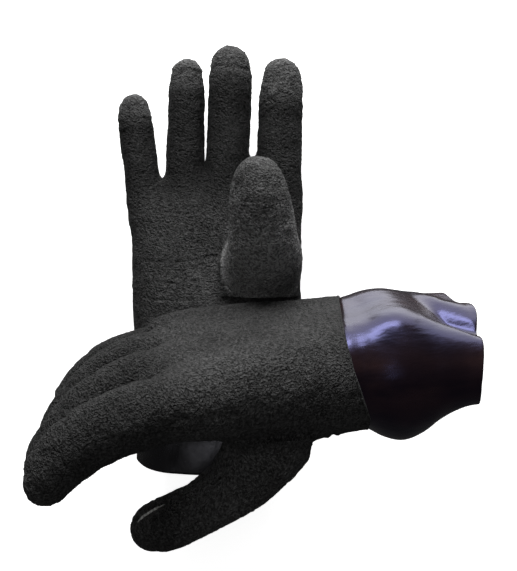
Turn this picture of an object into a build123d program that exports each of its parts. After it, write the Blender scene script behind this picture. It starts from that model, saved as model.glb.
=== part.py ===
"""A pair of insulated rubber gauntlet gloves, one lying across the other.

Each glove is a rubber shell over a loose thermal liner, with a smooth rubber cuff
cemented inside the wrist of the shell.  The lower glove lies on its back, palm up.
The upper glove lies across the lower cuff on its little-finger side.

Every piece is drawn in its glove's own hand frame and placed by that frame's plane:
x runs to the thumb side, y to the fingertips and z out of the palm, with the origin
at the middle of the wrist.  The model stands on z = 0, centred on the origin.
"""

import os
from math import cos, radians, sin

from build123d import *

os.makedirs("parts", exist_ok=True)

# Walls and fits, millimetres
shell_wall = 1.8
liner_wall = 2.2
liner_gap = 0.3
cuff_wall = 1.5
bond_wall = 0.5
bond_gap = 0.2

# Roots of the digits: a rounded root with a narrow neck turns in a round socket of the
# hand, which is larger by a share that leaves room for the bend
finger_socket_share = 1.2
neck_length = 6
neck_taper = 1.6
through = 2

# Wrist and cuff, measured from the wrist towards the fingers
shell_edge = -8
edge_slope = 12
wrist_back = -18
cuff_start = 14
bond_start = 12
bond_setback = 1
cuff_end = -84
liner_seam = -18.5
cuff_liner_end = -50
binding_gap = 0.3
binding_end = -55
binding_wall = 3
thenar_start = 16
corner_share = 0.92

# The end of the hand slants back towards the little finger by this angle
knuckle_slant = 5.5
hand_end = 115

# Each digit of the shell: the knuckle, the length of web in front of it, the three
# lengths from the stall's root to the middle of its round tip, and the half width and
# half depth at the root, the two finger joints and the tip
digits = {
    "index": {
        "knuckle": (43, 99, 2),
        "web": 22,
        "bones": (23, 25, 14),
        "half_width": (14.3, 14.1, 14.1, 13.4),
        "half_depth": (16.0, 16.0, 15.0, 13.2),
    },
    "middle": {
        "knuckle": (7.5, 100, -1),
        "web": 21,
        "bones": (27, 30, 14.5),
        "half_width": (14.2, 14.2, 13.9, 13.5),
        "half_depth": (16.0, 15.8, 15.0, 13.6),
    },
    "ring": {
        "knuckle": (-22, 99, -3),
        "web": 21,
        "bones": (24, 29, 14),
        "half_width": (12.5, 12.3, 11.9, 11.4),
        "half_depth": (14.2, 13.9, 13.4, 12.2),
    },
    "little": {
        "knuckle": (-47.5, 91, 2),
        "web": 21,
        "bones": (20.5, 20, 12),
        "half_width": (11.4, 11.3, 10.8, 10.2),
        "half_depth": (12.8, 12.8, 12.0, 11.0),
    },
}
thumb_bones = (31, 37, 12)
thumb_half_width = (18.6, 20.5, 17.0, 13.8)
thumb_half_depth = (18.6, 16.2, 15.2, 13.6)
tip_turns = (0, 30, 54, 72, 84)
thenar_root = (20, 8, 4)
thenar_radii = ((-12, 13), (0, 21))

# The lower glove is pressed flat.  Sections of its hand and cuff are
# (distance from the wrist, half width, half depth, height of the middle).
lower = {
    "origin": Vector(-28.5, -47.4, 23.7),
    "turns": (),
    "hand": ((wrist_back, 54, 26, 2), (cuff_start, 56, 25.5, 1.5), (60, 59, 24, 0),
             (90, 59.5, 20.5, 0), (107, 59.5, 17, 0), (hand_end, 58.5, 15.5, 0)),
    "cuff": ((-25, 54, 27, 3.5), (-38, 54, 28, 4.5), (-60, 53, 28.5, 5), (cuff_end, 54, 28.5, 5)),
    "splay": {"index": 1.4, "middle": 2.3, "ring": 1.3, "little": -6.0},
    "curl": {"index": (0, 3, 3, 3), "middle": (0, 3, 3, 3), "ring": (0, 3, 3, 3),
             "little": (0, 3, 3, 3)},
    "thumb_root": (32, 61.5, 40),
    "thumb_turns": ((2, 80), (-6, 38), (-5, 22)),
    "thumb_socket_share": 1.25,
    "thenar_top_radius": 16.5,
}
# The upper glove keeps its round wrist, and its fingers curl.  Turned onto its
# little-finger side, it leans, tips and swings by these angles about X, Y and Z.
upper = {
    "origin": Vector(43.5, -47.9, 101),
    "turns": (20, 11, 3.7),
    "hand": ((wrist_back, 48.5, 37, 3), (cuff_start, 50.5, 33.5, 1.5), (60, 57, 27, 0),
             (90, 59, 21.5, 0), (107, 59, 17, 0), (hand_end, 58, 15.5, 0)),
    "cuff": ((-25, 50, 40, 4), (-38, 50, 42, 5), (-52, 50, 39, 3), (-68, 51, 31, -1),
             (cuff_end, 53, 26, -3)),
    "splay": {"index": -2.2, "middle": 0.2, "ring": -1.0, "little": -3.0},
    "curl": {"index": (8, 10, 19, 24), "middle": (9, 19, 21, 12), "ring": (12, 22, 18, 14),
             "little": (10, 14, 18, 12)},
    "thumb_root": (22, 41.5, 48),
    "thumb_turns": ((11.6, 44), (-1, 23), (-4, 15)),
    "thumb_socket_share": 1.08,
    "thenar_top_radius": 18.6,
}
gloves = {"lower": lower, "upper": upper}


def hand_plane(glove):
    """The glove's hand frame as a plane in the model's frame."""
    if not glove["turns"]:
        return Plane(origin=glove["origin"], x_dir=(1, 0, 0), z_dir=(0, 0, 1))
    lean, tip, swing = glove["turns"]
    to_thumb = Vector(0, -sin(radians(lean)), cos(radians(lean)))
    from_palm = Vector(0, -cos(radians(lean)), -sin(radians(lean)))
    for axis, angle in ((Axis.Y, tip), (Axis.Z, swing)):
        to_thumb = to_thumb.rotate(axis, angle)
        from_palm = from_palm.rotate(axis, angle)
    return Plane(origin=glove["origin"], x_dir=to_thumb, z_dir=from_palm)


def section_plane(hand, point, side, along):
    """The plane across a piece at a point of the hand frame, with x to its side."""
    middle = hand.from_local_coords(point)
    to_side = hand.from_local_coords(side) - hand.origin
    forward = hand.from_local_coords(along) - hand.origin
    return Plane(origin=middle, x_dir=to_side, z_dir=forward)


def finger_path(glove, digit):
    """A finger's root, joints and tip, its directions, and the side that it bends about."""
    shape = digits[digit]
    splay = radians(glove["splay"][digit])
    straight = Vector(sin(splay), cos(splay), 0)
    side = straight.cross(Vector(0, 0, 1))
    bend = Axis((0, 0, 0), side)
    points = [Vector(*shape["knuckle"])]
    directions = []
    angle = 0
    for length, turn in zip((shape["web"], *shape["bones"]), glove["curl"][digit]):
        angle += turn
        directions.append(straight.rotate(bend, angle))
        points.append(points[-1] + directions[-1] * length)
    return points[1:], directions[1:], side


def thumb_path(glove):
    """The thumb's root, joints and tip, its directions, and the side that it bends about."""
    points = [Vector(*glove["thumb_root"])]
    directions = []
    for length, (swing, lift) in zip(thumb_bones, glove["thumb_turns"]):
        level = Vector(sin(radians(swing)), cos(radians(swing)), 0)
        directions.append(level * cos(radians(lift)) + Vector(0, 0, sin(radians(lift))))
        points.append(points[-1] + directions[-1] * length)
    side = directions[0].cross(Vector(0, 0, 1)).normalized()
    return points, directions, side


def digit_sizes(digit):
    """Half widths and half depths of a digit at its root, joints and tip."""
    if digit == "thumb":
        return thumb_half_width, thumb_half_depth
    return digits[digit]["half_width"], digits[digit]["half_depth"]


def digit_path(glove, digit):
    """The path of a finger or the thumb."""
    return thumb_path(glove) if digit == "thumb" else finger_path(glove, digit)


def loft_digit(glove, digit, inset, back):
    """Loft a digit through ellipses, from its narrow neck to its round tip."""
    hand = hand_plane(glove)
    points, directions, side = digit_path(glove, digit)
    widths, depths = ([size - inset for size in sizes] for sizes in digit_sizes(digit))
    first, last = directions[0], directions[-1]
    sections = [(points[0] - first * back, first, widths[0] - neck_taper, depths[0] - neck_taper)]
    sections.append((points[0], first, widths[0], depths[0]))
    for i in (1, 2):
        across = (directions[i - 1] + directions[i]).normalized()
        sections.append((points[i], across, widths[i], depths[i]))
    for turn in tip_turns:
        middle = points[3] + last * (widths[3] * sin(radians(turn)))
        shrink = cos(radians(turn))
        sections.append((middle, last, widths[3] * shrink, depths[3] * shrink))
    rings = []
    for point, along, width, depth in sections:
        with BuildSketch(section_plane(hand, point, side, along)) as ring:
            Ellipse(width, depth)
        rings.append(ring.sketch)
    loft(rings, ruled=True)


def loft_sleeve(glove, sections):
    """Loft rounded sections (distance, half width, half depth, height) along the arm."""
    hand = hand_plane(glove)
    rings = []
    for distance, width, depth, height in sections:
        middle = Vector(0, distance, height)
        slant = radians(knuckle_slant * max(0, distance) / hand_end)
        to_side = Vector(-cos(slant), -sin(slant), 0)
        forward = Vector(-sin(slant), cos(slant), 0)
        with BuildSketch(section_plane(hand, middle, to_side, forward)) as ring:
            RectangleRounded(2 * width, 2 * depth, corner_share * depth)
        rings.append(ring.sketch)
    loft(rings, ruled=True)


def loft_thenar(glove, inset):
    """Loft the base of the thumb, a tapered round lobe from the wrist to its root."""
    hand = hand_plane(glove)
    root = Vector(*thenar_root)
    top = Vector(*glove["thumb_root"])
    along = (top - root).normalized()
    side = along.cross(Vector(0, 0, 1)).normalized()
    rings = []
    for distance, radius in (*thenar_radii, ((top - root).length, glove["thenar_top_radius"])):
        with BuildSketch(section_plane(hand, root + along * distance, side, along)) as ring:
            Circle(radius - inset)
        rings.append(ring.sketch)
    loft(rings, ruled=True)


def shrunk(sections, inset):
    """The same sections, smaller all round."""
    return [(distance, width - inset, depth - inset, height)
            for distance, width, depth, height in sections]


def in_line(near, far, distance):
    """The section at a distance along the arm, in line with two others."""
    share = (distance - near[0]) / (far[0] - near[0])
    return tuple(a + (b - a) * share for a, b in zip(near, far))


def moved_ends(sections, start, end):
    """The same sections, with the first and the last moved along the arm."""
    first = in_line(sections[0], sections[1], start)
    last = in_line(sections[-1], sections[-2], end)
    return [first, *sections[1:-1], last]


def section_at(sections, distance):
    """The section at a distance along the arm, between the two that enclose it."""
    for near, far in zip(sections, sections[1:]):
        if min(near[0], far[0]) <= distance <= max(near[0], far[0]):
            return in_line(near, far, distance)
    raise ValueError("no section at this distance")


def stretch(sections, start, end):
    """The sections from start back to end, with new ones at the two ends."""
    inner = [section for section in sections if end < section[0] < start]
    return [section_at(sections, start), *inner, section_at(sections, end)]


def open_sleeve(glove, sections, inset, wall):
    """A sleeve open at both ends, whose outside lies an inset within the sections."""
    with BuildPart() as outside:
        loft_sleeve(glove, shrunk(sections, inset))
    with BuildPart() as inside:
        ends = (sections[0][0] + through, sections[-1][0] - through)
        loft_sleeve(glove, moved_ends(shrunk(sections, inset + wall), *ends))
    with BuildPart() as sleeve:
        add(outside)
        add(inside, mode=Mode.SUBTRACT)
    return sleeve


def hand_solid(glove, sections, inset, thenar_from):
    """The solid hand with the base of the thumb, which starts at a distance."""
    with BuildPart() as thenar:
        loft_thenar(glove, inset)
        middle, side, forward = Vector(0, thenar_from, 0), Vector(1, 0, 0), Vector(0, 1, 0)
        start = section_plane(hand_plane(glove), middle, side, forward)
        split(bisect_by=start, keep=Keep.TOP)
    with BuildPart() as solid:
        loft_sleeve(glove, sections)
        add(thenar)
    return solid


def cut_edge(glove, distance):
    """Cut the wrist end off at the sloped plane that crosses the arm at a distance."""
    slope = Vector(0, cos(radians(edge_slope)), sin(radians(edge_slope)))
    plane = section_plane(hand_plane(glove), Vector(0, distance, 0), Vector(1, 0, 0), slope)
    split(bisect_by=plane, keep=Keep.TOP)


def cut_sockets(glove):
    """Cut the sockets in which the roots of the digits turn."""
    hand = hand_plane(glove)
    for digit in (*digits, "thumb"):
        share = glove["thumb_socket_share"] if digit == "thumb" else finger_socket_share
        with Locations(hand.from_local_coords(digit_path(glove, digit)[0][0])):
            Sphere(share * digit_sizes(digit)[1][0], mode=Mode.SUBTRACT)


def save(piece, name):
    """Label a finished piece and write it."""
    piece.part.label = name
    export_step(piece.part, f"parts/{name}.step")


liner_inset = shell_wall + liner_gap
under_shell = shell_wall + bond_wall + 2 * bond_gap
under_cuff = cuff_wall + liner_gap
for side, glove in gloves.items():
    shell = list(glove["hand"])
    wrist, palm = shell[:2], shell[2:]
    cuff_outside = [*reversed(shrunk(wrist, under_shell)), *glove["cuff"]]

    # Hand shell: the rubber palm and back of the hand
    shell_outside = hand_solid(glove, shell, 0, -hand_end)
    shell_rings = moved_ends(shrunk(shell, shell_wall), wrist_back - through, hand_end - shell_wall)
    shell_inside = hand_solid(glove, shell_rings, shell_wall, -hand_end)
    with BuildPart() as hand_shell:
        add(shell_outside)
        add(shell_inside, mode=Mode.SUBTRACT)
        cut_sockets(glove)
        cut_edge(glove, shell_edge)
        if side == "lower":
            split(bisect_by=Plane.XY, keep=Keep.TOP)
    save(hand_shell, f"{side}_hand_shell")

    # Hand liner: the thermal lining of the hand, drawn in at the wrist to pass the cuff
    wrist_inset = under_shell + under_cuff
    outer = [*shrunk(wrist, wrist_inset), *shrunk(palm, liner_inset)]
    inner = [*shrunk(wrist, wrist_inset + liner_wall), *shrunk(palm, liner_inset + liner_wall)]
    outer_ends = (wrist_back, hand_end - liner_inset)
    inner_ends = (wrist_back - through, hand_end - liner_inset - liner_wall)
    liner_outside = hand_solid(glove, moved_ends(outer, *outer_ends), liner_inset, thenar_start)
    liner_inside = hand_solid(glove, moved_ends(inner, *inner_ends), liner_inset + liner_wall,
                              thenar_start + liner_wall)
    with BuildPart() as hand_liner:
        add(liner_outside)
        add(liner_inside, mode=Mode.SUBTRACT)
        cut_sockets(glove)
    save(hand_liner, f"{side}_hand_liner")

    # Digits: a rubber stall and its liner, both open at the root
    for digit in (*digits, "thumb"):
        layers = {"stall": (0, shell_wall), "liner": (liner_inset, liner_wall)}
        for layer, (inset, wall) in layers.items():
            with BuildPart() as digit_outside:
                loft_digit(glove, digit, inset, neck_length)
            with BuildPart() as digit_inside:
                loft_digit(glove, digit, inset + wall, neck_length + through)
            with BuildPart() as digit_layer:
                add(digit_outside)
                add(digit_inside, mode=Mode.SUBTRACT)
            save(digit_layer, f"{side}_{digit}_{layer}")

    # Cuff: a smooth rubber sleeve from inside the wrist of the shell to the open rim
    save(open_sleeve(glove, cuff_outside, 0, cuff_wall), f"{side}_cuff")

    # Bond: the band of rubber cement that holds the cuff in the wrist of the shell
    bond_rings = stretch(list(reversed(wrist)), bond_start, wrist_back)
    bond_sleeve = open_sleeve(glove, bond_rings, shell_wall + bond_gap, bond_wall)
    with BuildPart() as bond:
        add(bond_sleeve)
        cut_edge(glove, shell_edge + bond_setback)
    save(bond, f"{side}_bond_band")

    # Cuff liner: the lining's knitted wrist, sewn to the hand liner, and its bound edge
    cuff_liner_rings = stretch(cuff_outside, liner_seam, cuff_liner_end)
    save(open_sleeve(glove, cuff_liner_rings, under_cuff, liner_wall), f"{side}_cuff_liner")
    binding_rings = stretch(cuff_outside, cuff_liner_end - binding_gap, binding_end)
    save(open_sleeve(glove, binding_rings, under_cuff, binding_wall), f"{side}_liner_binding")
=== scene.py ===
import math
from itertools import product

import bpy
import numpy as np
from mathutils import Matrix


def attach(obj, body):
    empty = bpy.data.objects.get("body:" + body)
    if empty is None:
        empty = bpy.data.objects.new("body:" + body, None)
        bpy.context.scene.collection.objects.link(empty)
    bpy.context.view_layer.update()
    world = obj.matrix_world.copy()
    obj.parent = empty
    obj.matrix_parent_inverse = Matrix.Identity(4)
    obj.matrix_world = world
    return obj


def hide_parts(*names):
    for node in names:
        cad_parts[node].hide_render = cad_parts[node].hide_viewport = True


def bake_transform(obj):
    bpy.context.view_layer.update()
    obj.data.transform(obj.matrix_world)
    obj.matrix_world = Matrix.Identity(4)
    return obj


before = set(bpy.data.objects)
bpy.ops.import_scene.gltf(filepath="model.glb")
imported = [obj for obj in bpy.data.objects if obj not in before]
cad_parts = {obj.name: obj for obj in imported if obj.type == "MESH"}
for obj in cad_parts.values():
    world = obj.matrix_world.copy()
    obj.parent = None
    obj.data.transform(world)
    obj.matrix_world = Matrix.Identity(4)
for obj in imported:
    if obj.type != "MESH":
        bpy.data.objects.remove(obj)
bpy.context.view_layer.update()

# A pair of insulated rubber gloves.  All shapes are worked out in millimetres in each
# glove's own hand frame (x to the thumb side, y to the fingertips, z out of the palm)
# and placed in the row frame, in metres, when a piece is made.
MM = 0.001
STEP = 1.0
LINER_STEP = 2.0
LINING_EDGE = -18

# ---------------------------------------------------------------- the gloves' sizes

KNUCKLE_SLANT = 5.5  # degrees that the row of knuckles slants back to the little finger
HAND_END = 115  # y where the hand ends and the fingers go on
SHELL_EDGE = -8  # y of the shell's edge over the cuff
CORNER_SHARE = 0.92  # a section's corner radius, as a share of its half depth
CUFF_WALL = 1.5
# Each finger: its knuckle, the length up to its web, the bones past it, and half widths
# and depths at the knuckle, the web, the joints and the tip
FINGERS = {
    "index": {"knuckle": (42.0, 99, 2), "web": 22, "bones": (23, 25, 16),
              "width": (13.6, 13.4, 13.4, 13.4, 13.0), "depth": (18.5, 18.5, 17.2, 15.6, 13.2)},
    "middle": {"knuckle": (6.0, 100, -1), "web": 21, "bones": (27, 30, 15.8),
               "width": (13.8, 13.5, 13.3, 13.2, 13.0), "depth": (17.0, 17.0, 16.0, 14.6, 12.8)},
    "ring": {"knuckle": (-22.0, 99, -3), "web": 21, "bones": (24, 29, 15.2),
             "width": (12.6, 12.0, 11.5, 11.1, 10.6), "depth": (15.2, 15.2, 13.8, 13.0, 11.4)},
    "little": {"knuckle": (-47.8, 91, 2), "web": 21, "bones": (20.5, 20, 12.4),
               "width": (10.6, 10.2, 10.2, 10.1, 9.8), "depth": (13.2, 13.0, 12.6, 11.4, 10.4)},
}
# The webs between neighbouring fingers: x, end of the web, height, half width.  Each one
# starts inside the hand, a little wider, and has these half depths.
WEBS = ((26, 131, 0.5, 5.0), (-7.5, 122, -2, 5.0), (-36, 116, -1, 5.0))
WEB_START, WEB_FLARE, WEB_DEPTHS = 88, 3, (11, 8)
# The palm's hollow and heel: rise, x, half width, y, half length
PALM_FORMS = ((-3.5, 0, 26, 62, 30), (2.2, -30, 17, 24, 26))
PALM_RISE = 14
# How far the parts of the hand are rounded into each other
KNUCKLE_ROUND, WEB_JOIN, THENAR_JOIN = 16, 9, 26

# Each glove:
#   origin, turns  where its hand frame stands, and its (lean, tip, swing) in degrees
#   hand, cuff     sections as (y, half width, half depth, height)
#   rim, rim_side  how far down the arm the cuff ends, and less at its sides
#   splay, curl    each finger's angle sideways, and its turns at the knuckle and joints
#   thumb_...      its root, each bone's (swing, lift) and length, half widths and depths
#   thenar_...     the ball of the thumb, from its own root to the thumb's root
#   ..._join       how far a digit is rounded into the hand
#   edge           the shell's edge: y, slope along x, slope along z, height where that ends
#   top            the height of the box that the hand's skin is worked out in
LOWER = {
    "origin": (-28.5, -47.4, 23.7),
    "turns": None,
    "hand": ((-30, 54, 26, 2), (-18, 54, 26, 2), (14, 56, 25.5, 1.5), (60, 57.4, 24, 0),
             (90, 57.5, 20.5, 0), (107, 57.2, 17, 0), (HAND_END, 57, 15.5, 0)),
    "cuff": ((-6, 52.0, 23.4, 2), (-25, 52.6, 25.5, 3.2), (-38, 52.8, 27, 4.3), (-60, 52.2, 27.5, 5),
             (-84, 52.8, 27.2, 5)),
    "rim": 77.5, "rim_side": 8,
    "splay": {"index": 1.4, "middle": 2.3, "ring": 1.3, "little": -6.0},
    "curl": {"index": (0, 3, 3, 3), "middle": (0, 3, 3, 3), "ring": (0, 3, 3, 3),
             "little": (0, 3, 3, 3)},
    "thumb_root": (32, 61.5, 40),
    "thumb_turns": ((2, 80), (-6, 32), (-5, 12)),
    "thumb_bones": (31, 35, 11.5),
    "thumb_width": (16.5, 20.6, 17.4, 13.6),
    "thumb_depth": (15.0, 19.8, 16.0, 13.4),
    "thenar_root": (20, 10, 9),
    "thenar_radii": (20, 16),
    "thumb_join": 30,
    "finger_join": 7,
    "edge": (SHELL_EDGE, 0, -0.21, 60),
    "top": 118,
}
UPPER = {
    "origin": (43.5, -47.9, 101),
    "turns": (20, 11, 3.7),
    "hand": ((-30, 48.5, 34.3, 0.4), (-18, 48.5, 33.4, 0.9), (14, 50.5, 30.8, 0.4), (60, 57, 27, 0),
             (90, 59, 21.5, 0), (107, 59, 17, 0), (HAND_END, 58, 15.5, 0)),
    "cuff": ((-6, 46.6, 31.4, 0.2), (-16, 47.6, 34.0, 1.2), (-26, 49.2, 38.6, 2.8),
             (-38, 50, 40.8, 4.0), (-48, 50, 36.6, 2.6), (-57, 50.4, 29.8, -0.6),
             (-68, 51.4, 25.8, -1.6), (-84, 53, 24.2, -1.2)),
    "rim": 84,
    "splay": {"index": -2.2, "middle": 0.2, "ring": -1.0, "little": -3.0},
    "curl": {"index": (8, 10, 19, 24), "middle": (9, 19, 21, 12), "ring": (11, 21, 18, 14),
             "little": (8, 13, 17, 12)},
    "thumb_root": (22, 46.5, 47.4),
    "thumb_turns": ((11.6, 44), (-1, 23), (-4, 15)),
    "thumb_bones": (31, 37, 11),
    "thumb_width": (18.8, 18.0, 16.4, 12.8),
    "thumb_depth": (10.0, 12.8, 13.8, 13.0),
    "thenar_root": (20, 12, 9),
    "thenar_radii": (13, 8),
    "thumb_join": 40,
    "finger_join": 3,
    "edge": (-15, 0.23, -0.33, 18),
    "top": 80,
}
GLOVES = {"lower": LOWER, "upper": UPPER}
DIGITS = (*FINGERS, "thumb")


# ---------------------------------------------------------------- small maths

def unit(v):
    """The vector's direction."""
    return np.asarray(v, float) / np.linalg.norm(v)


def turned(v, axis, angle):
    """v turned about a unit axis by degrees."""
    a, axis = math.radians(angle), np.asarray(axis, float)
    return (v * math.cos(a) + np.cross(axis, v) * math.sin(a)
            + axis * (axis @ v) * (1 - math.cos(a)))


def hand_axes(turns):
    """The hand frame's x, y and z as the columns of a matrix."""
    if turns is None:
        return np.eye(3)
    lean, tip, swing = turns
    a = math.radians(lean)
    x, z = np.array((0, -math.sin(a), math.cos(a))), np.array((0, -math.cos(a), -math.sin(a)))
    for axis, angle in (((0, 1, 0), tip), ((0, 0, 1), swing)):
        x, z = turned(x, axis, angle), turned(z, axis, angle)
    return np.array((x, np.cross(z, x), z)).T


def smooth(t):
    """The smooth step from 0 to 1."""
    t = np.clip(t, 0, 1)
    return t * t * (3 - 2 * t)


def soft_min(a, b, k):
    """The lower of two fields, rounded where they meet."""
    h = np.maximum(k - np.abs(a - b), 0) / k
    return np.minimum(a, b) - h * h * k / 4


def soft_max(a, b, k):
    """The higher of two fields, rounded where they meet."""
    return -soft_min(-a, -b, k)


def hump(x, middle, width):
    """A smooth hump of height 1."""
    return np.exp(-(((x - middle) / width) ** 2))


def mixed(h):
    """Integers to even random numbers from 0 to 1."""
    h = (h ^ (h >> 15)) * 0x2C1B3C6D & 0xFFFFFFFF
    h = (h ^ (h >> 12)) * 0x297A2D39 & 0xFFFFFFFF
    return ((h ^ (h >> 15)) & 0xFFFFFF) / float(0x1000000)


def noise(p, size, seed):
    """Smooth noise from -1 to 1 with lumps about a size (one number or three)."""
    q = p / np.asarray(size, float)
    cell = np.floor(q).astype(np.int64)
    f = q - cell
    f = f * f * f * (f * (f * 6 - 15) + 10)
    total = np.zeros(len(p))
    for corner in product((0, 1), repeat=3):
        c = cell + np.array(corner)
        h = (c[:, 0] * 73856093 ^ c[:, 1] * 19349663 ^ c[:, 2] * 83492791 ^ seed * 2654435761)
        share = np.prod(np.where(corner, f, 1 - f), axis=1)
        total += share * mixed(h & 0xFFFFFFFF)
    return total * 2 - 1


def ridges(p, size, seed):
    """Noise with sharp crests, from 0 to 1."""
    return 1 - np.minimum(1, np.abs(noise(p, size, seed)) * 2.2)


# ---------------------------------------------------------------- the shape as a field

def rounded_box(x, z, w, d, r):
    """Distance to a rounded rectangle of half sizes w and d."""
    qx, qz = np.abs(x) - (w - r), np.abs(z) - (d - r)
    out = np.sqrt(np.maximum(qx, 0) ** 2 + np.maximum(qz, 0) ** 2)
    return out + np.minimum(np.maximum(qx, qz), 0) - r


def section(table, y):
    """Half width, half depth and height of the sections at distances y."""
    rows = sorted(table)
    ys = [row[0] for row in rows]
    return [np.interp(y, ys, [row[i] for row in rows]) for i in (1, 2, 3)]


def sleeve_field(table, p):
    """Distance to the sleeve through sections, which has no ends."""
    x, y, z = p[:, 0], p[:, 1], p[:, 2]
    w, d, c = section(table, y)
    return rounded_box(x, z - c, w, d, CORNER_SHARE * d)


def chain(p, points, widths, depths, side, k=3.0):
    """Distance to a row of joined round cones with elliptical sections."""
    best = None
    for i in range(len(points) - 1):
        a, b = points[i], points[i + 1]
        ab = b - a
        length = np.linalg.norm(ab)
        along = ab / length
        across = unit(side - along * (side @ along))
        up = np.cross(across, along)
        e = p - a
        h = np.clip((e @ along) / length, 0, 1)
        e = e - h[:, None] * ab
        w = widths[i] + h * (widths[i + 1] - widths[i])
        d = depths[i] + h * (depths[i + 1] - depths[i])
        s, n, t = e @ across, e @ up, e @ along
        k0 = np.sqrt((s / w) ** 2 + (n / d) ** 2 + (t / w) ** 2)
        k1 = np.sqrt((s / w**2) ** 2 + (n / d**2) ** 2 + (t / w**2) ** 2)
        f = k0 * (k0 - 1) / np.maximum(k1, 1e-6)
        best = f if best is None else soft_min(best, f, k)
    return best


def rounded_path(points, *sizes):
    """A path with its inner corners cut twice, so that it bends smoothly."""
    values = [np.concatenate((q, s)) for q, *s in zip(points, *sizes)]
    for _ in range(2):
        new = [values[0]]
        for i in range(1, len(values) - 1):
            new.append(values[i] * 0.75 + values[i - 1] * 0.25)
            new.append(values[i] * 0.75 + values[i + 1] * 0.25)
        values = [*new, values[-1]]
    values = np.array(values)
    return (values[:, :3], *values[:, 3:].T)


def digit_shape(glove, digit):
    """A digit's root joint, first direction, bend side and its row of cones."""
    if digit == "thumb":
        points, directions = [np.array(glove["thumb_root"], float)], []
        for length, (swing, lift) in zip(glove["thumb_bones"], glove["thumb_turns"]):
            s, u = math.radians(swing), math.radians(lift)
            directions.append(np.array((math.sin(s) * math.cos(u), math.cos(s) * math.cos(u),
                                        math.sin(u))))
            points.append(points[-1] + directions[-1] * length)
        side = unit(np.cross(directions[0], (0, 0, 1)))
        root, first = points[0], directions[0]
        widths, depths = glove["thumb_width"], glove["thumb_depth"]
    else:
        shape = FINGERS[digit]
        splay = math.radians(glove["splay"][digit])
        straight = np.array((math.sin(splay), math.cos(splay), 0))
        side = np.cross(straight, (0, 0, 1))
        points, directions, angle = [np.array(shape["knuckle"], float)], [], 0
        for length, turn in zip((shape["web"], *shape["bones"]), glove["curl"][digit]):
            angle += turn
            directions.append(turned(straight, side, angle))
            points.append(points[-1] + directions[-1] * length)
        root, first = points[1], directions[1]
        widths, depths = shape["width"], shape["depth"]
    line, w, d = rounded_path(points, widths, depths)
    return {"root": root, "first": first, "side": side, "points": line, "width": w, "depth": d}


def base_field(glove, p):
    """Distance to the hand without its digits."""
    x, y, z = p.T
    slant = math.tan(math.radians(KNUCKLE_SLANT))
    rise = sum(h * hump(x, at_x, w) * hump(y, at_y, l) for h, at_x, w, at_y, l in PALM_FORMS)
    f = sleeve_field(glove["hand"], np.stack((x, y, z - rise * smooth(z / PALM_RISE)), 1))
    end = HAND_END - 1 + slant * np.minimum(x - 10, 40) * 0.9
    f = soft_max(f, y - end, KNUCKLE_ROUND)
    for wx, end, height, half in WEBS:
        web = chain(p, [np.array((wx, WEB_START, height)), np.array((wx, end - half, height))],
                    (half + WEB_FLARE, half), WEB_DEPTHS, np.array((1.0, 0, 0)))
        f = soft_min(f, web, WEB_JOIN)
    root, top = np.array(glove["thenar_root"], float), np.array(glove["thumb_root"], float)
    side = unit(np.cross(top - root, (0, 0, 1)))
    radii = glove["thenar_radii"]
    thenar = chain(p, [root, top], radii, radii, side)
    return soft_min(f, thenar, THENAR_JOIN)


DIGIT_MARGIN, FAR = 24, 40.0


def digit_field(shape, p):
    """Distance to one digit, worked out only near it."""
    low, high = shape["points"].min(0) - DIGIT_MARGIN, shape["points"].max(0) + DIGIT_MARGIN
    near = np.all((p > low) & (p < high), axis=1)
    f = np.full(len(p), FAR)
    f[near] = chain(p[near], shape["points"], shape["width"], shape["depth"], shape["side"], 4.0)
    return f


def joined(glove, base, digit_distance, digit):
    """The hand's base and one digit as one rounded body."""
    return soft_min(base, digit_distance, glove["thumb_join" if digit == "thumb" else "finger_join"])


# ---------------------------------------------------------------- a field's skin

def lattice(low, high, step):
    """The points of a lattice that every skin of this step shares."""
    first = np.floor(np.array(low) / step).astype(int)
    count = np.ceil(np.array(high) / step).astype(int) - first + 1
    axes = [(first[i] + np.arange(count[i])) * step for i in range(3)]
    return first, count, np.stack(np.meshgrid(*axes, indexing="ij"), -1).reshape(-1, 3)


def sampled(field, low, high, step, ratio=3):
    """A field on a lattice, worked out in full only near its surface."""
    first, count, grid = lattice(low, high, step)
    coarse_first, coarse_count, coarse = lattice(low, high, ratio * step)
    rough = field(coarse).reshape(coarse_count)
    index = [np.clip(np.round((first[i] + np.arange(count[i])) / ratio).astype(int)
                     - coarse_first[i], 0, coarse_count[i] - 1) for i in range(3)]
    f = rough[np.ix_(*index)].ravel()
    near = np.abs(f) < 2.2 * ratio * step
    f[near] = field(grid[near])
    return f, first, count


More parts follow.
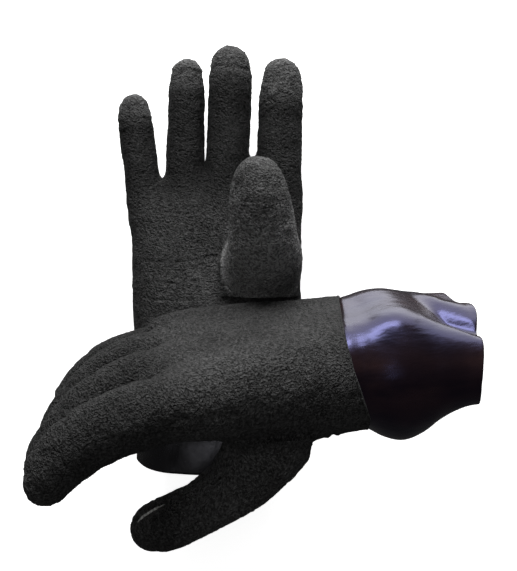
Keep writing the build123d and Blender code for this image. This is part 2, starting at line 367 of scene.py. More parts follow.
def skin(values, first, count, step):
    """Vertices and quads of the surface where a field on a lattice is zero."""
    f = values.reshape(count)
    inside = f < 0
    nx, ny, nz = count
    some = np.zeros((nx - 1, ny - 1, nz - 1), bool)
    every = np.ones_like(some)
    for i, j, k in product((0, 1), repeat=3):
        part = inside[i:nx - 1 + i, j:ny - 1 + j, k:nz - 1 + k]
        some |= part
        every &= part
    cells = np.argwhere(some & ~every)
    number = np.full(some.shape, -1)
    number[tuple(cells.T)] = np.arange(len(cells))
    total, hits = np.zeros((len(cells), 3)), np.zeros(len(cells))
    quads = []
    for axis in range(3):
        others = [a for a in range(3) if a != axis]
        for i, j in product((0, 1), repeat=2):
            start = np.zeros(3, int)
            start[others] = (i, j)
            a = cells + start
            b = a.copy()
            b[:, axis] += 1
            fa, fb = f[tuple(a.T)], f[tuple(b.T)]
            hit = (fa < 0) != (fb < 0)
            t = np.where(hit, fa / np.where(hit, fa - fb, 1), 0)
            point = np.tile(start.astype(float), (len(cells), 1))
            point[:, axis] = t
            total[hit] += point[hit]
            hits += hit
        along = [slice(None)] * 3
        along[axis] = slice(0, -1)
        ahead = [slice(None)] * 3
        ahead[axis] = slice(1, None)
        for other in others:
            along[other] = ahead[other] = slice(1, -1)
        a, b = inside[tuple(along)], inside[tuple(ahead)]
        where = np.argwhere(a != b)
        out = a[tuple(where.T)]
        where[:, others] += 1
        corners = []
        for i, j in ((-1, -1), (0, -1), (0, 0), (-1, 0)):
            at = where.copy()
            at[:, others[0]] += i
            at[:, others[1]] += j
            corners.append(number[tuple(at.T)])
        quad = np.stack(corners, 1)
        flip = out if axis == 1 else ~out
        quad[flip] = quad[flip][:, ::-1]
        quads.append(quad)
    points = (cells + total / hits[:, None] + first) * step
    return points, np.concatenate(quads)


SLOPE_STEP = 0.4
ROUNDS = 3


def slopes(field, points, value):
    """How fast the field, with this value at each point, changes along x, y and z."""
    return np.stack([(field(points + np.eye(3)[i] * SLOPE_STEP) - value) / SLOPE_STEP
                     for i in range(3)], 1)


def relaxed(points, quads, field):
    """Evens the vertices out and puts them back on the field's zero."""
    edges = np.concatenate([quads[:, [i, (i + 1) % 4]] for i in range(4)])
    edges = np.concatenate((edges, edges[:, ::-1]))
    degree = np.bincount(edges[:, 0], minlength=len(points))
    for _ in range(ROUNDS):
        mean = np.stack([np.bincount(edges[:, 0], points[edges[:, 1], i], len(points))
                         for i in range(3)], 1) / degree[:, None]
        points = points * 0.4 + mean * 0.6
        value = field(points)
        slope = slopes(field, points, value)
        size = np.maximum((slope**2).sum(1), 0.2)
        points = points - slope * (np.clip(value, -1, 1) / size)[:, None]
    return points


def normals(points, quads):
    """Each vertex's normal."""
    a, b, c, d = (points[quads[:, i]] for i in range(4))
    face = np.cross(c - a, d - b)
    out = np.zeros_like(points)
    for i in range(4):
        for k in range(3):
            out[:, k] += np.bincount(quads[:, i], face[:, k], len(points))
    return out / np.maximum(np.linalg.norm(out, axis=1), 1e-9)[:, None]


def kept(points, quads, keep, *rows):
    """The mesh with only some of its quads, and the rows that go with its vertices."""
    quads = quads[keep]
    used, quads = np.unique(quads, return_inverse=True)
    return (points[used], quads.reshape(-1, 4), *(row[used] for row in rows))


# ---------------------------------------------------------------- making pieces

def make_mesh(name, glove, points, faces, material, rest=None, normal=None, painted_light_and_tone=None):
    """A mesh object from hand-frame millimetres."""
    axes, origin = hand_axes(glove["turns"]), np.array(glove["origin"], float)
    mesh = bpy.data.meshes.new(name)
    mesh.from_pydata(((points @ axes.T + origin) * MM).tolist(), [], faces.tolist())
    mesh.polygons.foreach_set("use_smooth", np.ones(len(mesh.polygons), bool))
    at = mesh.attributes.new("rest", "FLOAT_VECTOR", "POINT")
    at.data.foreach_set("vector", (points if rest is None else rest).astype(np.float32).ravel())
    at = mesh.attributes.new("painted_light_and_tone", "FLOAT", "POINT")
    at.data.foreach_set("value", (np.ones(len(points)) if painted_light_and_tone is None else painted_light_and_tone).astype(np.float32))
    mesh.update()
    if normal is not None:
        mesh.normals_split_custom_set_from_vertices((normal @ axes.T).tolist())
    obj = bpy.data.objects.new(name, mesh)
    bpy.context.scene.collection.objects.link(obj)
    mesh.materials.append(material)
    return obj


# ---------------------------------------------------------------- materials

def shader(name, colour, rough):
    """A material and its nodes, with a Principled shader of that colour and roughness."""
    mat = bpy.data.materials.new(name)
    mat.use_nodes = True
    tree = mat.node_tree
    p = tree.nodes["Principled BSDF"]
    p.inputs["Base Color"].default_value = (*colour, 1)
    p.inputs["Roughness"].default_value = rough
    rest = tree.nodes.new("ShaderNodeAttribute")
    rest.attribute_name = "rest"
    return mat, tree, p, rest.outputs["Vector"]


def noise_node(tree, vector, scale, detail, rough=0.5, distort=0.0):
    """A noise texture's output."""
    n = tree.nodes.new("ShaderNodeTexNoise")
    tree.links.new(vector, n.inputs["Vector"])
    for key, value in (("Scale", scale), ("Detail", detail), ("Roughness", rough),
                       ("Distortion", distort)):
        n.inputs[key].default_value = value
    return n.outputs["Fac"]


def stretched(tree, vector, scale):
    """The coordinates times a vector."""
    n = tree.nodes.new("ShaderNodeMapping")
    tree.links.new(vector, n.inputs["Vector"])
    n.inputs["Scale"].default_value = scale
    return n.outputs["Vector"]


def maths(tree, kind, a, b):
    """A sum, product or other operation on two values or sockets."""
    n = tree.nodes.new("ShaderNodeMath")
    n.operation = kind
    for socket, value in zip(n.inputs, (a, b)):
        if isinstance(value, (int, float)):
            socket.default_value = value
        else:
            tree.links.new(value, socket)
    return n.outputs["Value"]


def ramp(tree, value, stops):
    """Colours along a value; stops are (place, (r, g, b))."""
    n = tree.nodes.new("ShaderNodeValToRGB")
    while len(n.color_ramp.elements) < len(stops):
        n.color_ramp.elements.new(0.5)
    for element, (place, colour) in zip(n.color_ramp.elements, stops):
        element.position = place
        element.color = (*colour, 1)
    tree.links.new(value, n.inputs["Fac"])
    return n.outputs["Color"]


def span(tree, value, low, high):
    """A value from 0..1 moved to low..high."""
    n = tree.nodes.new("ShaderNodeMapRange")
    n.inputs["To Min"].default_value = low
    n.inputs["To Max"].default_value = high
    tree.links.new(value, n.inputs["Value"])
    return n.outputs["Result"]


def bump(tree, p, height, distance, strength=1.0, under=None):
    """Raises the surface by a height texture, distance in millimetres."""
    n = tree.nodes.new("ShaderNodeBump")
    n.inputs["Distance"].default_value = distance * MM
    n.inputs["Strength"].default_value = strength
    tree.links.new(height, n.inputs["Height"])
    if under is not None:
        tree.links.new(under, n.inputs["Normal"])
    tree.links.new(n.outputs["Normal"], p.inputs["Normal"])
    return n.outputs["Normal"]


def crinkled_rubber(name):
    """Matte dipped rubber with a fine wrinkled grip."""
    mat, tree, p, rest = shader(name, (0.03, 0.03, 0.031), 0.7)
    wide = noise_node(tree, rest, 0.035, 3)
    crinkle = noise_node(tree, rest, 0.72, 1.5, 0.45, 0.4)
    veins = noise_node(tree, stretched(tree, rest, (0.40, 0.50, 0.44)), 1.0, 2, 0.5, 0.5)
    fold = maths(tree, "ABSOLUTE", maths(tree, "SUBTRACT", veins, 0.5), 0.0)
    crest = maths(tree, "SUBTRACT", 1.0, maths(tree, "MINIMUM", maths(tree, "MULTIPLY", fold, 7), 1.0))
    grain = noise_node(tree, rest, 1.5, 2, 0.6)
    height = maths(tree, "ADD", crinkle, maths(tree, "MULTIPLY", crest, 0.42))
    height = maths(tree, "ADD", height, maths(tree, "MULTIPLY", grain, 0.22))
    bump(tree, p, height, 2.9, 1.0)
    # Painted shade and highlight: the colour is darker in the crinkle's low places and paler on its
    # crests, with a wide random tone on top
    shade = maths(tree, "ADD", maths(tree, "MULTIPLY", height, 0.62),
                  maths(tree, "MULTIPLY", wide, 0.30))
    colour = ramp(tree, shade, ((0.40, (0.012,) * 3), (0.60, (0.027, 0.0268, 0.0266)),
                                (0.82, (0.066, 0.066, 0.066))))
    # The colour is scaled by the painted light and tone worked out for each vertex
    painted_mark = tree.nodes.new("ShaderNodeAttribute")
    painted_mark.attribute_name = "painted_light_and_tone"
    scaled = tree.nodes.new("ShaderNodeVectorMath")
    scaled.operation = "SCALE"
    tree.links.new(colour, scaled.inputs[0])
    tree.links.new(painted_mark.outputs["Fac"], scaled.inputs["Scale"])
    tree.links.new(scaled.outputs["Vector"], p.inputs["Base Color"])
    tree.links.new(span(tree, crinkle, 0.50, 0.74), p.inputs["Roughness"])
    p.inputs["Specular IOR Level"].default_value = 0.14
    return mat


def smooth_rubber(name, tint, brown):
    """Glossy dark latex with soft streaks, a tinted gloss and a share of brown."""
    mat, tree, p, rest = shader(name, (0.012, 0.008, 0.008), 0.2)
    streak = noise_node(tree, stretched(tree, rest, (0.05, 0.012, 0.05)), 1.0, 4, 0.55, 0.4)
    cloud = noise_node(tree, rest, 0.028, 3)
    fine = noise_node(tree, rest, 0.9, 2)
    tones = ((0.3, 0.002), (0.52, 0.010), (0.75, 0.030))
    stops = [(place, (tone, tone * (1 - 0.52 * brown), tone * (1 - 0.62 * brown)))
             for place, tone in tones]
    shade = maths(tree, "ADD", maths(tree, "MULTIPLY", streak, 0.5),
                  maths(tree, "MULTIPLY", cloud, 0.5))
    tree.links.new(ramp(tree, shade, stops), p.inputs["Base Color"])
    gloss = maths(tree, "ADD", maths(tree, "MULTIPLY", fine, 0.4), maths(tree, "MULTIPLY", cloud, 0.6))
    tree.links.new(span(tree, gloss, 0.20, 0.33), p.inputs["Roughness"])
    wave = noise_node(tree, stretched(tree, rest, (0.09, 0.035, 0.09)), 1.0, 3, 0.5)
    under = bump(tree, p, wave, 1.2, 0.5)
    bump(tree, p, fine, 0.05, 0.5, under)
    p.inputs["Specular IOR Level"].default_value = 0.6
    p.inputs["Specular Tint"].default_value = (*tint, 1)
    return mat


def knit():
    """Light grey brushed knit of the lining, with its fine ribs."""
    mat, tree, p, rest = shader("liner_knit_grey", (0.42, 0.42, 0.41), 0.95)
    rib = tree.nodes.new("ShaderNodeTexWave")
    rib.bands_direction = "Y"
    rib.inputs["Scale"].default_value = 0.16
    rib.inputs["Distortion"].default_value = 1.2
    rib.inputs["Detail"].default_value = 2
    rib.inputs["Detail Scale"].default_value = 1.5
    tree.links.new(rest, rib.inputs["Vector"])
    fuzz = noise_node(tree, rest, 1.1, 4, 0.7)
    height = maths(tree, "ADD", maths(tree, "MULTIPLY", rib.outputs["Fac"], 0.6),
                   maths(tree, "MULTIPLY", fuzz, 0.8))
    bump(tree, p, height, 0.8, 0.9)
    tree.links.new(ramp(tree, height, ((0.2, (0.20, 0.20, 0.195)), (0.9, (0.52, 0.52, 0.50)))),
                   p.inputs["Base Color"])
    p.inputs["Sheen Weight"].default_value = 0.3
    return mat


def tape():
    """Woven binding tape."""
    mat, tree, p, rest = shader("binding_tape_dark", (0.05, 0.05, 0.055), 0.85)
    weave = tree.nodes.new("ShaderNodeTexVoronoi")
    weave.inputs["Scale"].default_value = 1.3
    tree.links.new(stretched(tree, rest, (1.0, 0.6, 1.0)), weave.inputs["Vector"])
    bump(tree, p, weave.outputs["Distance"], 0.35, 0.8)
    tree.links.new(ramp(tree, weave.outputs["Distance"], ((0.0, (0.09, 0.09, 0.10)),
                                                          (0.6, (0.03, 0.03, 0.034)))),
                   p.inputs["Base Color"])
    return mat


def cement():
    """Dried rubber cement, slightly glossy and uneven."""
    mat, tree, p, rest = shader("rubber_cement_grey", (0.06, 0.06, 0.062), 0.5)
    lumps = noise_node(tree, rest, 0.5, 3, 0.6)
    tree.links.new(ramp(tree, lumps, ((0.3, (0.035, 0.035, 0.037)), (0.7, (0.10, 0.10, 0.10)))),
                   p.inputs["Base Color"])
    bump(tree, p, lumps, 0.4, 0.7)
    return mat


def floor_material():
    """A pale studio floor."""
    mat, _, p, _ = shader("studio_floor", (0.93, 0.93, 0.93), 0.9)
    p.inputs["Specular IOR Level"].default_value = 0.1
    p.inputs["Emission Color"].default_value = (1, 1, 1, 1)
    p.inputs["Emission Strength"].default_value = 0.85
    return mat


RUBBER = crinkled_rubber("shell_rubber_crinkled")
SMOOTH = {"lower": smooth_rubber("cuff_rubber_grey", (0.9, 0.9, 1.0), 0.1),
          "upper": smooth_rubber("cuff_rubber_smooth", (0.40, 0.42, 0.92), 1.0)}
KNIT = knit()
TAPE = tape()
CEMENT = cement()


# ---------------------------------------------------------------- wrinkles and creases

def crease(p, a, b, depth, width, sag):
    """A crease from a to b, seen along z, with a low shoulder each side."""
    a, b = np.array(a, float), np.array(b, float)
    ab = b - a
    length = np.linalg.norm(ab)
    along = ab / length
    e = p[:, :2] - a
    t = np.clip(e @ along / length, 0, 1)
    off = e @ np.array((-along[1], along[0])) - sag * 4 * t * (1 - t)
    past = np.abs(e @ along - t * length)
    fade = smooth(t / 0.15) * smooth((1 - t) / 0.15) * np.exp(-(past / 2) ** 2)
    off = off + 0.5 * noise(p, 5, 77)
    return fade * depth * (0.8 * (hump(off, 1.5 * width, 0.7 * width)
                                  + hump(off, -1.5 * width, 0.7 * width)) - hump(off, 0, width))


# Creases as (start, end, depth, width, sag), on the palm and on the back of the hand
PALM_CREASES = {
    "lower": (((-54, 46), (-14, 43), 0.45, 1.2, 2), ((-50, 38), (-8, 36), 0.4, 1.2, -2),
              ((-20, 48), (14, 42), 0.35, 1.2, 2), ((-52, 62), (6, 66), 0.4, 1.2, -3),
              ((-46, 16), (-22, 9), 0.5, 1.4, 2), ((-30, 24), (-4, 14), 0.5, 1.3, 1),
              ((0, 20), (22, 8), 0.5, 1.4, -2), ((-8, 66), (18, 52), 0.35, 1.6, 3),
              ((-26, 72), (-14, 30), 0.5, 3.2, -3), ((-16, 60), (4, 26), 0.45, 3.0, 3),
              ((18, 32), (46, 24), 0.6, 1.5, 3), ((14, 24), (40, 14), 0.5, 1.4, 2)),
    "upper": (((-40, 60), (20, 92), 0.8, 2.0, -6), ((-30, 40), (10, 30), 0.7, 1.6, 2),
              ((5, 10), (34, 22), 1.0, 2.0, 2), ((10, 0), (40, 8), 0.9, 1.8, 1),
              ((0, 18), (26, 32), 0.8, 1.8, 3)),
}
BACK_CREASES = {
    "lower": (((-40, 70), (40, 74), 0.5, 2.5, 4), ((-30, 20), (30, 16), 0.7, 2.2, -3)),
    "upper": (((-30, 2), (36, 6), 0.45, 1.5, 2), ((-36, 14), (34, 18), 0.45, 1.5, -3)),
}
# Hollows between the knuckles: start, end, depth, width
KNUCKLE_HOLLOWS = (((24, 84), (26, 128), 4.4, 3.8), ((-7, 82), (-8, 124), 3.6, 3.4),
                   ((-36, 80), (-36, 116), 2.8, 3.0))


def hollow(p, a, b, depth, width):
    """A soft hollow from a to b, seen along z, that deepens towards b."""
    a, b = np.array(a, float), np.array(b, float)
    length = np.linalg.norm(b - a)
    along = (b - a) / length
    e = p[:, :2] - a
    t = e @ along / length
    return -depth * smooth(t / 0.7) * hump(e @ np.array((-along[1], along[0])), 0, width)


def wrinkles(p, n, side):
    """How far the hand's skin stands out of its smooth shape, from its place alone."""
    seed = 11 if side == "lower" else 29
    out = 0.55 * noise(p, (17, 20, 17), seed) + 0.36 * noise(p, (7.5, 9, 7.5), seed + 1)
    out += 0.34 * (ridges(p, (5.0, 4.6, 5.0), seed + 2) - 0.5) * (0.6 + 0.4 * noise(p, 22, seed + 3))
    out += 0.30 * (ridges(p, (3.2, 3.0, 3.2), seed + 4) - 0.5)
    palm, back = smooth(n[:, 2] * 1.6), smooth(-n[:, 2] * 1.6)
    for where, table in ((palm, PALM_CREASES), (back, BACK_CREASES)):
        for a, b, depth, width, sag in table[side]:
            out += where * crease(p, a, b, depth, width, sag)
    if side == "upper":
        for a, b, depth, width in KNUCKLE_HOLLOWS:
            out += back * hollow(p, a, b, depth, width)
    return out


def digit_wrinkles(p, shape, digit, side):
    """Creases across a digit's joints and the wrinkled cap of its tip."""
    points = shape["points"]
    steps = np.linalg.norm(np.diff(points, axis=0), axis=1)
    starts = np.concatenate(((0,), np.cumsum(steps)))
    total = starts[-1]
    best, t, across, front = np.full(len(p), 1e9), np.zeros(len(p)), np.zeros(len(p)), np.zeros(len(p))
    for i in range(len(points) - 1):
        ab = points[i + 1] - points[i]
        along = ab / steps[i]
        e = p - points[i]
        h = e @ along
        if i < len(points) - 2:
            h = np.minimum(h, steps[i])
        if i:
            h = np.maximum(h, 0)
        away = np.linalg.norm(e - h[:, None] * along, axis=1)
        near = away < best
        best[near] = away[near]
        t[near] = starts[i] + h[near]
        wide = unit(shape["side"] - along * (shape["side"] @ along))
        across[near] = (e @ wide)[near]
        front[near] = (e @ np.cross(along, wide))[near]
    from_tip = total + shape["width"][-1] - t
    share = across / shape["width"][-1]
    number = DIGITS.index(digit) + (10 if side == "upper" else 0)
    line, more = TIP_LINES[digit]
    slope = 9 if digit == "index" else 2
    wave = 1.2 * noise(p, 7, 300 + number)
    out = np.zeros(len(p))
    for place, height in ((line, 0.34), (line + more, 0.2)):
        off = from_tip - place - slope * np.abs(share) ** 1.4 - wave
        out += height * (hump(off, 0, 0.8) - 0.6 * hump(off, 2.0, 1.2))
    cap = smooth((line + 8 - from_tip) / 12) if digit != "thumb" else 0
    out += cap * (0.36 * (ridges(p, (3.4, 3.0, 3.4), 320 + number) - 0.45)
                  + 0.2 * noise(p, 2.4, 340 + number))
    bends = starts[[4, 8]] if len(starts) > 9 else starts[[4]]
    for place in bends:
        off = t - place - 0.8 * noise(p, 6, 360 + number)
        out -= 0.45 * hump(off, 0, 1.4) * smooth(front / 6)
        out -= 0.25 * hump(off, 5, 1.2) * smooth(front / 6)
    return out


# ---------------------------------------------------------------- skins of the gloves

EDGE_LOWEST, EDGE_HIGHEST = -21, 4
# Along a digit from its root: where its own skin starts, and where its bend blends in
SEAM = -4.0
TUBE_REACH = 3.0
# How long each fingertip's paler cap is, and how much painted light pales it and the thumb, less at
# the thumb's tip
TIP_LENGTH = {"index": 24, "middle": 17, "ring": 17, "little": 15}
TIP_PAINTED_LIGHT = {"lower": 1.2, "upper": 0.3}
THUMB_PAINTED_LIGHT = {"lower": (4.8, 3.7), "upper": (0.72, 0.555)}
# Raised lines across the digits: distance from the tip, and on to the second line
TIP_LINES = {"index": (21, 8), "middle": (12, 6), "ring": (5.5, 6), "little": (14, 7),
             "thumb": (64, 14)}
# The box that the hand's skin is worked out in, up to each glove's own top, and how far
# a digit's box reaches behind and ahead of it
BOX_LOW, BOX_SIDE, BOX_END = (-80, -26, -48), 80, 150
DIGIT_BEHIND, DIGIT_AHEAD = 26, 24
FLOOR_GAP, LINING_FLOOR_GAP = 0.3, 3.0


def edge_place(glove, p):
    """Where the shell's edge crosses the arm beside a point, as a distance.

    It is a slanted plane that turns square to the arm above a height."""
    place, sideways, upwards, highest = glove["edge"]
    edge = place + sideways * p[:, 0] + upwards * np.minimum(p[:, 2], highest)
    return np.clip(edge, EDGE_LOWEST, EDGE_HIGHEST)


def lining_inset(y):
    """How far the lining lies under the shell: more where the cuff lies between them."""
    return 3.4 + 1.5 * smooth((24 - y) / 10)


def floor_cut(glove, p, f, lift):
    """The field cut flat where the lower glove rests on the table."""
    if glove is not LOWER:
        return f
    return soft_max(f, lift - (p[:, 2] + glove["origin"][2]), 5)


def painted_light_and_tone_at(p, n, shapes, digit, side):
    """How pale the rubber is made: paler mid-palm, painted light on the fingertips and thumb, painted
    shade on the thumb's tip and the upper glove's back.
    """
    # Darker towards the wrist, and paler in the middle of the palm side
    painted_light_and_tone = 0.84 - 0.20 * smooth((40 - p[:, 1]) / 40)
    painted_light_and_tone += 0.30 * hump(p[:, 0], 0, 34) * hump(p[:, 1], 50, 40) * smooth(n[:, 2])
    # Darker past the knuckles, along the fingers
    painted_light_and_tone -= 0.48 * smooth((p[:, 1] - 88) / 26)
    if side == "upper":
        # Painted light: the upper glove is made paler, most on its palm side, which faces away from
        # the key lamp; painted shade darkens the back of its hand, which faces the lamp, and its
        # little-finger side is darker too
        painted_light_and_tone += 0.55 - 0.25 * smooth(-n[:, 2]) - 0.2 * hump(p[:, 0], -44, 16)
    for name in DIGITS if digit is None else (digit,):
        shape = shapes[name]
        near = smooth(((17 if name == "thumb" else 8) - digit_field(shape, p)) / 6)
        from_tip = np.linalg.norm(p - shape["points"][-1], axis=1)
        if name == "thumb":
            away = (p - shape["root"]) @ shape["first"]
            # Painted light: the thumb, which faces away from the key lamp, is made far paler, less so
            # towards its tip
            pale, darker_tip = THUMB_PAINTED_LIGHT[side]
            painted_mark = pale * smooth((away + 34) / 26) - darker_tip * smooth((44 - from_tip) / 30)
        elif digit is None:
            continue
        else:
            # Painted light on the fingertips; the index and little fingers are also a little paler all
            # along
            painted_mark = TIP_PAINTED_LIGHT[side] * smooth((TIP_LENGTH[name] + 4 - from_tip) / 12)
            painted_mark += 0.07 if name in ("index", "little") else 0
        painted_light_and_tone = painted_light_and_tone + near * painted_mark
    return painted_light_and_tone


def skin_box(glove, shapes, digit):
    """The corners of the box that the skin of the hand or a digit is worked out in."""
    if digit is None:
        return BOX_LOW, (BOX_SIDE, BOX_END, glove["top"])
    points = shapes[digit]["points"]
    near = points[2:] if digit == "thumb" else points[3:]
    low = np.minimum(near.min(0), shapes[digit]["root"]) - DIGIT_BEHIND
    return low, near.max(0) + DIGIT_AHEAD


def hand_faces(glove, shapes, middle, lining):
    """Which faces, by their middles, are on the hand: short of the digits and the edge."""
    away = np.stack([digit_field(shapes[d], middle) for d in DIGITS], 1)
    own = away.argmin(1)
    t = np.stack([(middle - shapes[d]["root"]) @ shapes[d]["first"] for d in DIGITS], 1)
    taken = (t > SEAM) & (away < TUBE_REACH) & (own[:, None] == np.arange(len(DIGITS)))
    edge = LINING_EDGE if lining else edge_place(glove, middle)
    return ~taken.any(1) & (middle[:, 1] > edge) & (middle[:, 1] <= BOX_END - 4)


def glove_skins(side, glove, lining):
    """The hand's skin and the digits' skins, as meshes in hand-frame millimetres."""
    step = LINER_STEP if lining else STEP
    shapes = {digit: digit_shape(glove, digit) for digit in DIGITS}

    def field_of(digit, p):
        base = base_field(glove, p)
        names = DIGITS if digit is None else (digit,)
        f = np.minimum.reduce([joined(glove, base, digit_field(shapes[d], p), d) for d in names])
        if lining:
            f = f + lining_inset(p[:, 1])
        return floor_cut(glove, p, f, LINING_FLOOR_GAP if lining else FLOOR_GAP)

    made = {}
    for digit in (None, *DIGITS):
        low, high = skin_box(glove, shapes, digit)
        values, first, count = sampled(lambda p: field_of(digit, p), low, high, step)
        points, quads = skin(values, first, count, step)
        points = relaxed(points, quads, lambda p: field_of(digit, p))
        n = normals(points, quads)
        rest = points.copy()
        if not lining:
            points = points + n * wrinkles(rest, n, side)[:, None]
        middle = rest[quads].mean(1)
        if digit is None:
            keep = hand_faces(glove, shapes, middle, lining)
        else:
            shape = shapes[digit]
            if not lining:
                t = (rest - shape["root"]) @ shape["first"]
                more = digit_wrinkles(rest, shape, digit, side) * smooth((t - 8) / 8)
                points = points + n * more[:, None]
            t = (middle - shape["root"]) @ shape["first"]
            keep = (t > SEAM) & (digit_field(shape, middle) < TUBE_REACH)
        n = normals(points, quads)
        made[digit] = kept(points, quads, keep, rest, n, painted_light_and_tone_at(rest, n, shapes, digit, side))
    return made, shapes


def snapped(points, quads, glove, reach):
    """Moves the open border near the shell's edge onto it."""
    edges = np.sort(np.concatenate([quads[:, [i, (i + 1) % 4]] for i in range(4)]), axis=1)
    lines, times = np.unique(edges, axis=0, return_counts=True)
    border = np.unique(lines[times == 1])
    off = points[border, 1] - edge_place(glove, points[border])
    near = np.abs(off) < reach
    points = points.copy()
    points[border[near], 1] -= off[near]
    return points


def largest(points, quads, *rows):
    """Only the biggest connected part of a mesh."""
    group = np.arange(len(points))
    while True:
        low = group[quads].min(1)
        new = group.copy()
        for i in range(4):
            np.minimum.at(new, quads[:, i], low)
        new = new[new]
        if (new == group).all():
            break
        group = new
    names, sizes = np.unique(group[quads[:, 0]], return_counts=True)
    return kept(points, quads, group[quads[:, 0]] == names[sizes.argmax()], *rows)


def add_skins(side, glove, lining):
    """Makes the hand and digit pieces of a shell or its lining."""
    made, shapes = glove_skins(side, glove, lining)
    kind, cad = ("liner", "liner") if lining else ("skin", "stall")
    material, slot = (KNIT, "liner_knit") if lining else (RUBBER, "shell_rubber")
    for digit, mesh in made.items():
        points, quads, rest, n, painted_light_and_tone = largest(*mesh)
        if digit is None:
            if not lining:
                points = snapped(points, quads, glove, 3 * STEP)
            obj = make_mesh(f"{side}_hand_{kind}_surface", glove, points, quads, material, rest, n,
                            painted_light_and_tone)
            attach(obj, f"{side}_glove")
            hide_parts(f"{side}_hand_liner" if lining else f"{side}_hand_shell")
        else:
            obj = make_mesh(f"{side}_{digit}_{kind}_surface", glove, points, quads, material, rest, n,
                            painted_light_and_tone)
            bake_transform(obj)
            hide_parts(f"{side}_{digit}_{cad}")


# ---------------------------------------------------------------- sleeves at the wrist

AROUND = 240
CUFF_START = 12.0
CUFF_LINER_START, CUFF_LINER_END = -17.0, -50.0
BINDING_START, BINDING_END = -50.4, -54.6
EDGE_POINTS = 14
# The cement's section: out from the shell's surface, and on towards the fingers
BOND_SECTION = ((-1.7, 6.0), (-1.6, 0.5), (-1.75, -1.2), (-2.2, -1.9), (-2.6, -1.6), (-2.5, 6.0))
# How far the cuff stays under the shell's outside
CUFF_UNDER = 2.0


def curve(table, column, y):
    """A column of a table along its first one, joined smoothly."""
    rows = np.array(sorted(table), float)
    xs, ys = rows[:, 0], rows[:, column]
    slopes = np.gradient(ys, xs)
    i = np.clip(np.searchsorted(xs, y) - 1, 0, len(xs) - 2)
    h = xs[i + 1] - xs[i]
    t = np.clip((y - xs[i]) / h, 0, 1)
    return (ys[i] * (2 * t**3 - 3 * t**2 + 1) + ys[i + 1] * (3 * t**2 - 2 * t**3)
            + slopes[i] * h * (t**3 - 2 * t**2 + t) + slopes[i + 1] * h * (t**3 - t**2))


def cuff_waves(side, u, y):
    """How far the cuff stands out of its plain sleeve at an angle (degrees) and distance."""
    a = np.radians(u)
    p = np.stack((np.cos(a) * 45, y, np.sin(a) * 40), 1)
    free = smooth((-14 - y) / 18)
    if side == "lower":
        out = free * (1.0 * noise(p, (24, 40, 24), 51) + 0.4 * noise(p, (11, 26, 11), 52))
        return out + free * 0.8 * hump(y, -60, 16) * noise(p, (14, 60, 14), 53)
    late = smooth((-56 - y) / 24)
    out = free * (1.2 * noise(p, (26, 44, 26), 61) + 0.35 * noise(p, (12, 30, 12), 62))

    def at(where, width):
        return np.exp(-((((u - where + 180) % 360) - 180) / width) ** 2)

    out += late * (7 * at(104, 14) - 10 * at(62, 18))
    fold = -80 + 18 * smooth((-56 - y) / 28)
    out += smooth((-55 - y) / 14) * (5.0 * at(fold - 26, 14) - 4.6 * at(fold, 8))
    out += hump(y, -30, 13) * 1.6 * at(-62, 16) - hump(y, -20, 9) * 1.2 * at(-45, 20)
    return out


def rim_place(side, glove, u):
    """Where the cuff's rim is at an angle, as a distance."""
    a = np.radians(u)
    if side == "lower":
        return -glove["rim"] + glove["rim_side"] * np.abs(np.cos(a)) ** 3
    return -glove["rim"] + 10 * np.maximum(np.cos(a), 0) ** 1.3 - 4 * hump((u + 180) % 360, 95, 18)


def cuff_points(side, glove, u, y, inset):
    """Points of the cuff's surface at angles (degrees) and distances, an inset inside."""
    w, d, c = (curve(glove["cuff"], i, y) for i in (1, 2, 3))
    waves = cuff_waves(side, u, y)
    w, d = w + waves, d + waves
    a = np.radians(u)
    # Even steps of the angle crowd at the ends of a flat oval, so the angle is turned back
    a = np.arctan2(np.sin(a) * d, np.cos(a) * w)
    low, high = np.zeros(len(u)), np.full(len(u), 90.0)
    for _ in range(26):
        r = (low + high) / 2
        out = rounded_box(r * np.cos(a), r * np.sin(a), w - inset, d - inset,
                          CORNER_SHARE * (d - inset)) > 0
        high = np.where(out, r, high)
        low = np.where(out, low, r)
    # Past the shell's edge the cuff is drawn in, so that it stays under the shell
    under = np.stack((r * np.cos(a), y, r * np.sin(a) + c), 1)
    past = smooth((y - edge_place(glove, under) + 3) / 4)
    r = r - np.maximum(base_field(glove, under) + CUFF_UNDER + inset, 0) * past
    z = r * np.sin(a) + c
    if glove is LOWER:
        lift = 0.4 + inset - glove["origin"][2]
        z = np.where(z < lift + 3, lift + 3 * np.exp((np.minimum(z, lift + 3) - lift - 3) / 3), z)
    return np.stack((r * np.cos(a), y, z), 1)


def ring_mesh(rings):
    """Vertices and quads of a closed ring through rows of points, facing out."""
    rows, around = len(rings), len(rings[0])
    points = np.concatenate(rings)
    i, j = np.meshgrid(np.arange(rows), np.arange(around), indexing="ij")
    a, b = i * around + j, i * around + (j + 1) % around
    c, d = ((i + 1) % rows) * around + (j + 1) % around, ((i + 1) % rows) * around + j
    quads = np.stack((a, b, c, d), -1).reshape(-1, 4)
    p = [points[quads[:, k]] for k in range(4)]
    volume = (p[0] * np.cross(p[1], p[2])).sum() + (p[0] * np.cross(p[2], p[3])).sum()
    return points, quads if volume > 0 else quads[:, ::-1]


def sleeve_rings(side, glove, start, end, inset, wall, count):
    """Rings of a sleeve's outside, rounded end and inside; end is a distance for each u."""
    u = np.arange(AROUND) * 360 / AROUND
    rings = []
    for s in np.linspace(0, 1, count):
        rings.append(cuff_points(side, glove, u, start + (end - start) * s, inset))
    for turn in (30, 60, 90, 120, 150):
        a = math.radians(turn)
        reach = end - wall / 2 * math.sin(a)
        rings.append(cuff_points(side, glove, u, reach, inset + wall / 2 * (1 - math.cos(a))))
    for s in np.linspace(1, 0, count):
        rings.append(cuff_points(side, glove, u, start + (end - start) * s, inset + wall))
    return rings


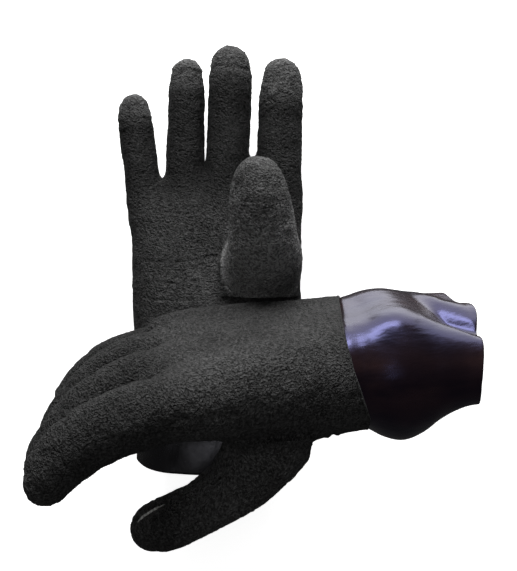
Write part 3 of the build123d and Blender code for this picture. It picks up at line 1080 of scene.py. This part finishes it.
def add_ring(name, side, glove, rings, material, node):
    """A ring-shaped piece that rides on its glove and, with a node, stands for it."""
    points, quads = ring_mesh(rings)
    obj = make_mesh(name, glove, points, quads, material)
    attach(obj, f"{side}_glove")
    if node:
        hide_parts(node)


def add_cuff(side, glove):
    """The cuff, its lining and binding."""
    u = np.arange(AROUND) * 360 / AROUND
    rim = rim_place(side, glove, u)
    rings = sleeve_rings(side, glove, np.full(AROUND, CUFF_START), rim, 0, CUFF_WALL, 90)
    add_ring(f"{side}_cuff_surface", side, glove, rings, SMOOTH[side], f"{side}_cuff")
    start, end = np.full(AROUND, CUFF_LINER_START), np.full(AROUND, CUFF_LINER_END)
    rings = sleeve_rings(side, glove, start, end, 2.0, 2.2, 40)
    add_ring(f"{side}_cuff_liner_surface", side, glove, rings, KNIT,
             f"{side}_cuff_liner")
    start, end = np.full(AROUND, BINDING_START), np.full(AROUND, BINDING_END)
    rings = sleeve_rings(side, glove, start, end, 1.75, 3.0, 6)
    add_ring(f"{side}_liner_binding_surface", side, glove, rings, TAPE,
             f"{side}_liner_binding")


def add_shell_edge(side, glove):
    """The shell's turned edge, which follows its surface, and the cement under it."""
    a = np.radians(np.arange(AROUND) * 360 / AROUND)
    low, high = np.zeros(AROUND), np.full(AROUND, 90.0)
    w, d, height = (curve(glove["hand"], i, np.array([float(SHELL_EDGE)]))[0] for i in (1, 2, 3))
    a = np.arctan2(np.sin(a) * d, np.cos(a) * w)

    def on_plane(r):
        p = np.stack((r * np.cos(a), np.zeros(AROUND), r * np.sin(a) + height), 1)
        p[:, 1] = edge_place(glove, p)
        return p

    def shell(p):
        return floor_cut(glove, p, base_field(glove, p), FLOOR_GAP)

    for _ in range(26):
        r = (low + high) / 2
        out = shell(on_plane(r)) > 0
        high = np.where(out, r, high)
        low = np.where(out, low, r)
    p = on_plane(r)
    n = slopes(shell, p, shell(p))
    n /= np.linalg.norm(n, axis=1)[:, None]
    p = p + n * wrinkles(p, n, side)[:, None]
    across = np.array((0, 1, 0))
    rings = []
    for turn in np.linspace(0, 2 * math.pi, EDGE_POINTS, endpoint=False):
        rings.append(p + n * (1.15 * math.cos(turn) - 0.75) + across * (0.95 * math.sin(turn) - 0.2))
    add_ring(f"{side}_shell_edge", side, glove, rings, RUBBER, None)
    rings = []
    for out, ahead in BOND_SECTION:
        wave = 0.25 * noise(p, 9, 71 if side == "lower" else 72)
        rings.append(p + n * (out + wave)[:, None] + across * ahead)
    add_ring(f"{side}_bond_line", side, glove, rings, CEMENT,
             f"{side}_bond_band")


for side, glove in GLOVES.items():
    add_skins(side, glove, False)
    add_skins(side, glove, True)
    add_cuff(side, glove)
    add_shell_edge(side, glove)


# ---------------------------------------------------------------- floor, light, camera

bpy.ops.mesh.primitive_plane_add(size=6, location=(0, 0, -0.0004))
table = bpy.context.object
table.name = "studio_floor"
table.data.materials.append(floor_material())
table.visible_diffuse = False
table.visible_glossy = False
table.visible_shadow = False


def soft_light(name, place, aim, size, power, colour):
    """A large area light that points at a place."""
    data = bpy.data.lights.new(name, "AREA")
    data.shape = "RECTANGLE"
    data.size, data.size_y = size
    data.energy = power
    data.color = colour
    light = bpy.data.objects.new(name, data)
    bpy.context.scene.collection.objects.link(light)
    light.location = place
    away = np.array(place) - np.array(aim)
    flat = math.hypot(away[0], away[1])
    light.rotation_euler = (math.atan2(flat, away[2]), 0, math.atan2(away[1], away[0]) + math.pi / 2)


soft_light("key", (-0.05, 1.0, 0.50), (0, 0, 0.03), (0.9, 0.4), 19, (1, 1, 1))
soft_light("card", (0.05, 0.75, -0.25), (0.05, 0, -0.20), (1.3, 1.1), 15, (1, 1, 1))
soft_light("fill", (-0.15, 0.05, 1.3), (0, 0, 0.03), (0.5, 0.5), 2.2, (1, 1, 1))

sky = bpy.data.worlds.new("studio")
bpy.context.scene.world = sky
sky.use_nodes = True
sky.node_tree.nodes["Background"].inputs["Color"].default_value = (1, 1, 1, 1)
sky.node_tree.nodes["Background"].inputs["Strength"].default_value = 0.06
bpy.context.scene.view_settings.view_transform = "Standard"

camera_data = bpy.data.cameras.new("camera")
camera_data.sensor_fit = "AUTO"
camera_data.sensor_width = 36
camera_data.lens = 18 / math.tan(math.radians(32.09 / 2))
camera_data.clip_start = 0.01
camera = bpy.data.objects.new("camera", camera_data)
bpy.context.scene.collection.objects.link(camera)
camera.location = (0, -0.0024, 0.700)
bpy.context.scene.camera = camera
